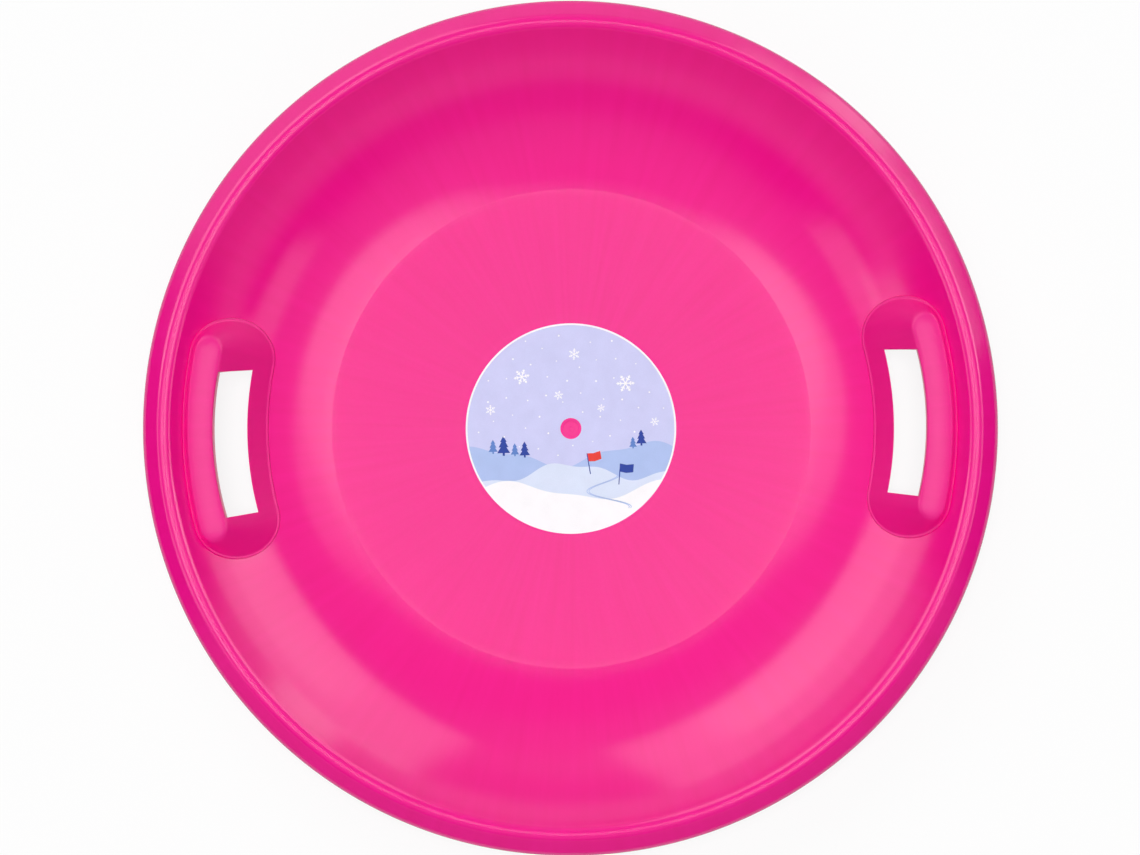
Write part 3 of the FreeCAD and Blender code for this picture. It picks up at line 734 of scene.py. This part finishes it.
def flakeOutline():
    barb = [(0.4, 0.2), (1.35, 0.2), (1.95, 0.85), (2.25, 0.6), (1.85, 0.2), (2.35, 0.2), (2.75, 0.6),
            (3.0, 0.35), (2.9, 0.2), (3.3, 0.2)]
    arm = [(u, -v) for u, v in barb] + [(u, v) for u, v in reversed(barb)]
    arms = 6
    outline = []
    for k in range(arms):
        turn = math.radians(360 / arms * k)
        cos, sin = math.cos(turn), math.sin(turn)
        outline += [(u * cos - v * sin, u * sin + v * cos) for u, v in arm]
    return outline


def bandOutline(line, half):
    # a line of points drawn as a stripe
    left, right = [], []
    for i, (x, y) in enumerate(line):
        before, after = line[max(i - 1, 0)], line[min(i + 1, len(line) - 1)]
        run = math.dist(before, after)
        across = ((before[1] - after[1]) / run * half, (after[0] - before[0]) / run * half)
        left.append((x + across[0], y + across[1]))
        right.append((x - across[0], y - across[1]))
    return left + right[::-1]


def trackLine(size, shift):
    # a ski track that winds down between the flags
    middle, top = size["trackTop"]
    swing, gain = size["trackSwing"]
    steps = size["trackSteps"]
    line = []
    for i in range(steps + 1):
        t = i / steps
        wind = (swing + gain * t) * math.sin(size["trackWinds"] * math.pi * t)
        line.append((middle + shift + wind, top - size["trackFall"] * t))
    return line


def ringInk(name, inner, outer, layer):
    ring = drawOutline(name, [(r * mm, 0, labelSize["top"] * mm) for r in (inner, outer)])
    spinRound(labelSize["steps"])
    editAll()
    bpy.ops.mesh.remove_doubles(threshold=weldGap)
    raiseInk(layer)
    return ring


def printLabel(size):
    inked = {}

    def keep(colour, shape):
        inked.setdefault(colour, []).append(shape)

    for layer, hill in enumerate(size["hills"], start=1):
        keep(hill[0], inkShape("hill", hillOutline(hill), layer))
    layers = size["layers"]
    for shift in (-size["trackGap"], size["trackGap"]):
        track = bandOutline(trackLine(size, shift), size["trackHalf"])
        keep("iceBlue", inkShape("ski_track", track, layers["track"]))
    firstHill = size["hills"][0]
    pine = inkShape("pine", pineOutline(), layers["pine"])
    for colour, x, above, scale in size["pines"]:
        keep(colour, placeInk(pine, "pine_copy", x, waveHeight(x, firstHill) + above, scale=scale))
    pole = inkShape("flag_pole", size["pole"], layers["pole"])
    cloth = inkShape("flag_cloth", size["cloth"], layers["cloth"])
    for colour, x, y, lean in size["flags"]:
        keep("navy", placeInk(pole, "flag_pole_copy", x, y, turn=lean))
        keep(colour, placeInk(cloth, "flag_cloth_copy", x, y, turn=lean))
    flake = inkShape("snowflake", flakeOutline(), layers["flake"])
    for x, y, scale, turn in size["flakes"]:
        keep("snowWhite", placeInk(flake, "snowflake_copy", x, y, turn=turn, scale=scale))
    corners = size["speckCorners"]
    lastCorner = 2 * math.pi * (corners - 1) / corners
    speckOutline = arcPoints((0, 0), size["speckRadius"], 0, lastCorner, corners - 1)
    speck = inkShape("snow_speck", speckOutline, layers["speck"])
    small, large = size["speckScale"]
    for i in range(size["snowCount"]):
        reach = size["snowEdge"] * math.sqrt((i + 0.5) / size["snowCount"])
        turn = math.radians(size["snowTurn"] * i)
        x, y = reach * math.cos(turn), reach * math.sin(turn)
        clear = reach > size["clearOfHole"] and y > waveHeight(x, firstHill) + size["clearOfHill"]
        for flakeX, flakeY, flakeScale, _ in size["flakes"]:
            clear = clear and math.dist((x, y), (flakeX, flakeY)) > size["clearOfFlake"] * flakeScale
        if clear:
            scale = small + (large - small) * (i % size["speckSizes"]) / (size["speckSizes"] - 1)
            keep("snowWhite", placeInk(speck, "snow_speck_copy", x, y, scale=scale))
    edge = labelSize["radius"]
    keep("snowWhite", ringInk("label_border", edge - labelSize["border"], edge - labelSize["borderGap"],
                              layers["border"]))
    for shape in (pine, pole, cloth, flake, speck):
        bpy.data.objects.remove(shape)
    return inked


inkShapes = printLabel(printSize)
print("label printed:", {colour: len(shapes) for colour, shapes in inkShapes.items()})


# materials

def feedSocket(tree, socket, given):
    # a value is set on the socket itself, and another node's output is linked to it
    if isinstance(given, bpy.types.NodeSocket):
        tree.links.new(given, socket)
    else:
        socket.default_value = given


def makeNode(tree, kind, settings=None, **inputs):
    # inputs go by name, or as i0, i1 and so on by place
    made = tree.nodes.new(kind)
    for key, setting in (settings or {}).items():
        setattr(made, key, setting)
    for key, given in inputs.items():
        byPlace = key[0] == "i" and key[1:].isdigit()
        feedSocket(tree, made.inputs[int(key[1:])] if byPlace else made.inputs[key], given)
    return made


def makeMath(tree, operation, *inputs, **settings):
    named = {f"i{place}": given for place, given in enumerate(inputs)}
    return makeNode(tree, "ShaderNodeMath", {"operation": operation, **settings}, **named).outputs[0]


def makeNoise(tree, vector, scale, detail, roughness=0.5):
    noise = makeNode(tree, "ShaderNodeTexNoise", Vector=vector, Scale=scale, Detail=detail,
                     Roughness=roughness)
    return noise.outputs["Fac"]


def srgb(red, green, blue):
    linear = []
    for part in (red, green, blue):
        part /= 255
        linear.append(part / 12.92 if part <= 0.04045 else ((part + 0.055) / 1.055) ** 2.4)
    return (*linear, 1)


def newGroup(name, inputs, outputs):
    # a shader node group with its sockets: inputs as name and default, outputs as name and kind
    group = bpy.data.node_groups.new(name, "ShaderNodeTree")
    for label, default in inputs:
        socket = group.interface.new_socket(name=label, in_out="INPUT", socket_type="NodeSocketFloat")
        socket.default_value = default
    for label, kind in outputs:
        group.interface.new_socket(name=label, in_out="OUTPUT", socket_type=kind)
    return group, makeNode(group, "NodeGroupInput"), makeNode(group, "NodeGroupOutput")


grainPattern = {                 # noise scales per m, heights in m
    "patches": 24.0, "waves": 11.0, "waveHeight": 0.01, "grainHeight": 0.0005,
}
paperPattern = {
    "fibres": 1600.0, "clouds": 90.0, "fibreHeight": 0.0002, "fibreDepth": 0.06, "spread": 0.12,
    "darker": 7, "lighter": 4,   # sRGB steps to each side of the colour
}
streakDrift = 0.35               # how far the streaks wander as they run outwards


def mouldedGrain(pattern):
    # fine grain of a moulded surface over slow waves, as roughness and as a bumped normal
    group, given, result = newGroup(
        "mouldedGrain",
        (("Grain", 900.0), ("Roughness", 0.15), ("Spread", 0.02), ("Depth", 0.05), ("Waves", 0.02)),
        (("Roughness", "NodeSocketFloat"), ("Normal", "NodeSocketVector")))
    place = makeNode(group, "ShaderNodeTexCoord").outputs["Object"]
    fine = makeNoise(group, place, given.outputs["Grain"], detail=2.0, roughness=0.55)
    patch = makeNoise(group, place, pattern["patches"], detail=3.0)
    rough = makeMath(group, "MULTIPLY_ADD", patch, given.outputs["Spread"], given.outputs["Roughness"])
    waves = makeNoise(group, place, pattern["waves"], detail=1.0)
    slow = makeNode(group, "ShaderNodeBump", Strength=given.outputs["Waves"],
                    Distance=pattern["waveHeight"], Height=waves)
    grain = makeNode(group, "ShaderNodeBump", Strength=given.outputs["Depth"],
                     Distance=pattern["grainHeight"], Height=fine, Normal=slow.outputs["Normal"])
    group.links.new(rough, result.inputs["Roughness"])
    group.links.new(grain.outputs["Normal"], result.inputs["Normal"])
    return group


def flowStreaks(drift):
    # faint streaks that run out from the moulding gate, where the plastic flowed
    group, given, result = newGroup(
        "flowStreaks", (("Count", 26.0), ("Contrast", 1.0)), (("Mask", "NodeSocketFloat"),))
    place = makeNode(group, "ShaderNodeTexCoord")
    flat = makeNode(group, "ShaderNodeVectorMath", {"operation": "MULTIPLY"},
                    i0=place.outputs["Object"], i1=(1, 1, 0))
    heading = makeNode(group, "ShaderNodeVectorMath", {"operation": "NORMALIZE"}, i0=flat.outputs[0])
    outwards = makeNode(group, "ShaderNodeVectorMath", {"operation": "MULTIPLY"},
                        i0=flat.outputs[0], i1=(drift, drift, 0))
    along = makeNode(group, "ShaderNodeVectorMath", {"operation": "ADD"},
                     i0=heading.outputs[0], i1=outwards.outputs[0])
    streak = makeNoise(group, along.outputs[0], given.outputs["Count"], detail=4.0, roughness=0.6)
    centred = makeMath(group, "SUBTRACT", streak, 0.5)
    mask = makeMath(group, "MULTIPLY_ADD", centred, given.outputs["Contrast"], 0.5, use_clamp=True)
    group.links.new(mask, result.inputs["Mask"])
    return group


def paperFibre(pattern):
    # mottle of a printed paper label: a mask for the colour, a roughness and a bumped normal
    group, given, result = newGroup(
        "paperFibre", (("Roughness", 0.42), ("Mottle", 1.0)),
        (("Mask", "NodeSocketFloat"), ("Roughness", "NodeSocketFloat"), ("Normal", "NodeSocketVector")))
    place = makeNode(group, "ShaderNodeTexCoord").outputs["Object"]
    fibre = makeNoise(group, place, pattern["fibres"], detail=3.0)
    cloud = makeNoise(group, place, pattern["clouds"], detail=2.0)
    centred = makeMath(group, "SUBTRACT", makeMath(group, "ADD", fibre, cloud), 1.0)
    mask = makeMath(group, "MULTIPLY_ADD", centred, given.outputs["Mottle"], 0.5, use_clamp=True)
    rough = makeMath(group, "MULTIPLY_ADD", fibre, pattern["spread"], given.outputs["Roughness"])
    bump = makeNode(group, "ShaderNodeBump", Strength=pattern["fibreDepth"],
                    Distance=pattern["fibreHeight"], Height=fibre)
    group.links.new(mask, result.inputs["Mask"])
    group.links.new(rough, result.inputs["Roughness"])
    group.links.new(bump.outputs["Normal"], result.inputs["Normal"])
    return group


grainGroup = mouldedGrain(grainPattern)
streakGroup = flowStreaks(streakDrift)
paperGroup = paperFibre(paperPattern)


def newMaterial(name):
    material = bpy.data.materials.new(name)
    material.use_nodes = True
    tree = material.node_tree
    return material, tree, tree.nodes["Principled BSDF"]


def mixColours(tree, mask, dark, light):
    mixed = makeNode(tree, "ShaderNodeMix", {"data_type": "RGBA"}, Factor=mask)
    # the colour sockets of a mix node share their names with its number sockets
    colourInputs = [socket for socket in mixed.inputs if socket.type == "RGBA"]
    feedSocket(tree, colourInputs[0], dark)
    feedSocket(tree, colourInputs[1], light)
    return [socket for socket in mixed.outputs if socket.type == "RGBA"][0]


def plasticMaterial(name, finish):
    material, tree, shader = newMaterial(name)
    streaks = makeNode(tree, "ShaderNodeGroup", {"node_tree": streakGroup}, Count=finish["streaks"],
                       Contrast=finish["contrast"])
    grain = makeNode(tree, "ShaderNodeGroup", {"node_tree": grainGroup}, Grain=finish["grain"],
                     Roughness=finish["roughness"], Spread=finish["spread"], Depth=finish["depth"],
                     Waves=finish["waves"])
    colour = mixColours(tree, streaks.outputs["Mask"], srgb(*finish["dark"]), srgb(*finish["light"]))
    tree.links.new(colour, shader.inputs["Base Color"])
    tree.links.new(grain.outputs["Roughness"], shader.inputs["Roughness"])
    tree.links.new(grain.outputs["Normal"], shader.inputs["Normal"])
    shader.inputs["IOR"].default_value = finish["ior"]
    return material


def paperMaterial(name, colour, mottle):
    material, tree, shader = newMaterial(name)
    fibre = makeNode(tree, "ShaderNodeGroup", {"node_tree": paperGroup}, Mottle=mottle)
    dark = [max(part - paperPattern["darker"], 0) for part in colour]
    light = [min(part + paperPattern["lighter"], 255) for part in colour]
    mixed = mixColours(tree, fibre.outputs["Mask"], srgb(*dark), srgb(*light))
    tree.links.new(mixed, shader.inputs["Base Color"])
    tree.links.new(fibre.outputs["Roughness"], shader.inputs["Roughness"])
    tree.links.new(fibre.outputs["Normal"], shader.inputs["Normal"])
    return material


shellFinish = {                  # colours as sRGB 0 to 255
    "dark": (241, 8, 137), "light": (245, 11, 143), "streaks": 26.0, "contrast": 2.2,
    "grain": 1400.0, "roughness": 0.135, "spread": 0.03, "depth": 0.03, "waves": 0.012, "ior": 1.5,
}
# grip colours are a deeper pink than the shell's: partly the separate moulding's own colour, partly painted
# shade that darkens the ridge's steep sides and the bar
gripFinishWithShade = {
    "dark": (231, 7, 131), "light": (236, 10, 137), "streaks": 40.0, "contrast": 1.6,
    "grain": 2200.0, "roughness": 0.33, "spread": 0.05, "depth": 0.12, "waves": 0.01, "ior": 1.5,
}
inkColours = {
    "lavender": (203, 205, 243), "snowWhite": (250, 249, 252), "iceBlue": (172, 192, 236),
    "paleBlue": (216, 226, 247), "midBlue": (88, 126, 196), "navy": (20, 54, 148),
    "redOrange": (226, 50, 40),
}
labelMottle = {"paper": 1.2, "ink": 1.0}


def giveMaterial(piece, material):
    piece.data.materials.clear()
    piece.data.materials.append(material)


shellPlastic = plasticMaterial("shellPlastic", shellFinish)
gripPlastic = plasticMaterial("gripPlastic", gripFinishWithShade)
giveMaterial(shell, shellPlastic)
giveMaterial(rightHandle, gripPlastic)
giveMaterial(leftHandle, gripPlastic)
giveMaterial(labelPaper, paperMaterial("lavenderPaper", inkColours["lavender"], labelMottle["paper"]))
inked = []
for colour, shapes in inkShapes.items():
    ink = paperMaterial(colour + "Ink", inkColours[colour], labelMottle["ink"])
    for shape in shapes:
        giveMaterial(shape, ink)
    inked += shapes
labelPrint = joinPieces("label_print", inked)
print("materials given:", len(bpy.data.materials))


# stage: a pale floor that reads as white

floorSize = {
    "size": 60.0,                # m
    "white": 0.85,               # share of plain white for the camera and for reflections
    "matte": 0.9,                # paleness of the rest, which takes the shadow
    "bounce": 0.45,              # paleness that lights the sled from below
}


def layFloor(size):
    deselectAll()
    bpy.ops.mesh.primitive_plane_add(size=size["size"])
    floor = nameActive("pale_floor")
    material = bpy.data.materials.new("paleFloor")
    material.use_nodes = True
    tree = material.node_tree
    tree.nodes.clear()
    path = makeNode(tree, "ShaderNodeLightPath")
    either = makeMath(tree, "MAXIMUM", path.outputs["Is Camera Ray"], path.outputs["Is Glossy Ray"])
    seen = makeMath(tree, "MAXIMUM", either, path.outputs["Is Transmission Ray"])
    share = makeMath(tree, "MULTIPLY", seen, size["white"])
    pale = makeMath(tree, "MULTIPLY_ADD", seen, size["matte"] - size["bounce"], size["bounce"])
    matte = makeNode(tree, "ShaderNodeBsdfDiffuse", Color=pale)
    glow = makeNode(tree, "ShaderNodeEmission", Color=(1, 1, 1, 1), Strength=1.0)
    mixed = makeNode(tree, "ShaderNodeMixShader", i0=share, i1=matte.outputs[0], i2=glow.outputs[0])
    # seen from below the floor is clear, so that the underside can be looked at
    side = makeNode(tree, "ShaderNodeNewGeometry")
    clear = makeNode(tree, "ShaderNodeBsdfTransparent")
    sided = makeNode(tree, "ShaderNodeMixShader", i0=side.outputs["Backfacing"],
                     i1=mixed.outputs[0], i2=clear.outputs[0])
    makeNode(tree, "ShaderNodeOutputMaterial", Surface=sided.outputs[0])
    giveMaterial(floor, material)


layFloor(floorSize)


# lights: each panel is set by where it stands in the sky over the sled and by the angles that it fills;
# mirrored ones show in reflections only, and matte ones light the surface only

skyDistance = 20.0               # m
# name, shape, use, azimuth, tilt from straight up, width, height, turn, radiance where 1 is white
skyPanels = (
    ("softboxRight", "ELLIPSE", "mirrored", -9, 16.0, 21.6, 31.0, -20, 1.0),
    ("softboxRightGlow", "ELLIPSE", "mirrored", -29, 15.2, 22.0, 24.0, -20, 1.3),
    ("softboxLeft", "ELLIPSE", "mirrored", 185, 18.4, 21.6, 22.0, 0, 1.45),
    ("softboxLeftGlow", "ELLIPSE", "mirrored", 200, 16.6, 14.0, 14.0, 0, 1.4),
    ("keyLight", "ELLIPSE", "matte", 90, 1.5, 25.0, 25.0, 0, 14.2),
    ("farFill", "RECTANGLE", "matte", 110, 48.0, 50.0, 30.0, 0, 1.4),
    ("nearFill", "RECTANGLE", "matte", 270, 50.0, 50.0, 30.0, 0, 0.8),
    ("windowLeft", "RECTANGLE", "mirrored", 136, 60.2, 61.0, 33.0, 0, 1.6),
    ("windowLeftGlow", "RECTANGLE", "mirrored", 142, 54.5, 45.0, 20.0, 0, 0.95),
    ("windowRight", "RECTANGLE", "mirrored", 38, 62.6, 55.0, 32.5, 0, 1.7),
    ("windowRightGlow", "RECTANGLE", "mirrored", 28, 58.5, 40.0, 24.0, 0, 0.8),
    ("doorway", "RECTANGLE", "mirrored", 47, 84.0, 12.0, 11.0, 0, 2.2),
    ("sideLeft", "RECTANGLE", "mirrored", 183, 60.0, 34.0, 18.0, 0, 1.3),
    ("sideRight", "RECTANGLE", "mirrored", 2, 60.0, 34.0, 18.0, 0, 1.6),
    ("lowLeft", "RECTANGLE", "mirrored", 204, 50.0, 16.0, 14.0, 0, 1.3),
    ("lowRight", "RECTANGLE", "mirrored", 334, 47.5, 16.0, 11.0, 0, 1.25),
)


def skyPanel(name, shape, use, azimuth, tilt, width, height, turn, radiance):
    tilt = math.radians(tilt)
    azimuth = math.radians(azimuth)
    away = Vector((math.sin(tilt) * math.cos(azimuth), math.sin(tilt) * math.sin(azimuth), math.cos(tilt)))
    bpy.ops.object.light_add(type="AREA", location=skyDistance * away)
    lamp = bpy.context.object
    lamp.name = name
    lamp.data.shape = shape
    lamp.data.size = 2 * skyDistance * math.tan(math.radians(width / 2))
    lamp.data.size_y = 2 * skyDistance * math.tan(math.radians(height / 2))
    area = lamp.data.size * lamp.data.size_y * (math.pi / 4 if shape == "ELLIPSE" else 1)
    lamp.data.energy = radiance * math.pi * area
    level = Vector((-math.sin(azimuth), math.cos(azimuth), 0))    # sideways along the panel
    if shape == "ELLIPSE":                                        # overhead, laid out along X and Y
        level = Vector((math.cos(math.radians(turn)), math.sin(math.radians(turn)), 0))
        level = (level - away * level.dot(away)).normalized()
    lamp.rotation_euler = Matrix((level, away.cross(level), away)).transposed().to_euler()
    lamp.visible_camera = False
    lamp.visible_glossy = use != "matte"
    lamp.visible_diffuse = use != "mirrored"


for panel in skyPanels:
    skyPanel(*panel)


# surround: the brightness of the room by height, near and far, with darker walls at the sides

roomLight = {
    "near": ((0.0, 0.3), (0.2, 0.34), (0.34, 0.6), (0.44, 0.48), (0.52, 0.06), (0.66, 0.1), (0.78, 0.45),
             (0.9, 0.62), (0.96, 0.5), (0.985, 0.3), (0.993, 0.55), (1.0, 0.6)),
    "far": ((0.0, 1.1), (0.17, 1.1), (0.25, 0.6), (0.36, 0.55), (0.5, 0.72), (0.66, 0.5), (0.74, 0.48),
            (0.8, 0.36), (0.9, 0.26), (0.97, 0.15), (1.0, 0.1)),
    "farFrom": (-0.1, 0.9),      # where the far side starts to show and where it has taken over
    "wallsFrom": (0.85, 0.94),   # the same for the walls at the sides
    "wallShare": 0.12,           # of the light, on those walls
    "ambient": 0.35,             # share of it all that lights matt surfaces
}


def lightRamp(tree, height, stops):
    ramp = makeNode(tree, "ShaderNodeValToRGB", Fac=height)
    elements = ramp.color_ramp.elements
    while len(elements) < len(stops):
        elements.new(0.5)
    for element, (place, level) in zip(elements, stops):
        element.position = place
        element.color = (level, level, level, 1)
    return ramp.outputs["Color"]


def easeBetween(tree, value, span, levels):
    ease = makeNode(tree, "ShaderNodeMapRange", {"interpolation_type": "SMOOTHSTEP"}, Value=value,
                    i1=span[0], i2=span[1], i3=levels[0], i4=levels[1])
    return ease.outputs["Result"]


def surroundRoom(light):
    world = bpy.data.worlds.new("studio")
    bpy.context.scene.world = world
    world.use_nodes = True
    tree = world.node_tree
    place = makeNode(tree, "ShaderNodeTexCoord")
    axes = makeNode(tree, "ShaderNodeSeparateXYZ", Vector=place.outputs["Generated"])
    farSide = easeBetween(tree, axes.outputs["Y"], light["farFrom"], (0.0, 1.0))
    near = lightRamp(tree, axes.outputs["Z"], light["near"])
    far = lightRamp(tree, axes.outputs["Z"], light["far"])
    path = makeNode(tree, "ShaderNodeLightPath")
    strength = makeMath(tree, "MULTIPLY_ADD", path.outputs["Is Diffuse Ray"], light["ambient"] - 1, 1.0)
    across = makeMath(tree, "ABSOLUTE", axes.outputs["X"])
    shade = easeBetween(tree, across, light["wallsFrom"], (1.0, light["wallShare"]))
    background = tree.nodes["Background"]
    feedSocket(tree, background.inputs["Color"], mixColours(tree, farSide, near, far))
    feedSocket(tree, background.inputs["Strength"], makeMath(tree, "MULTIPLY", strength, shade))


surroundRoom(roomLight)
print("lights placed:", len(skyPanels))

bpy.context.scene.view_settings.view_transform = "Standard"


# every piece rides on the sled's one body and stands for its CAD node

finishedPieces = (
    (shell, "saucer_shell", "shell_plastic"),
    (rightHandle, "right_handle", "handle_plastic"),
    (leftHandle, "left_handle", "handle_plastic"),
    (labelPaper, "centre_label", "label_print"),
)
for piece, node, slot in finishedPieces:
    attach(piece, "root")
    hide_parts(node)

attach(labelPrint, "root")
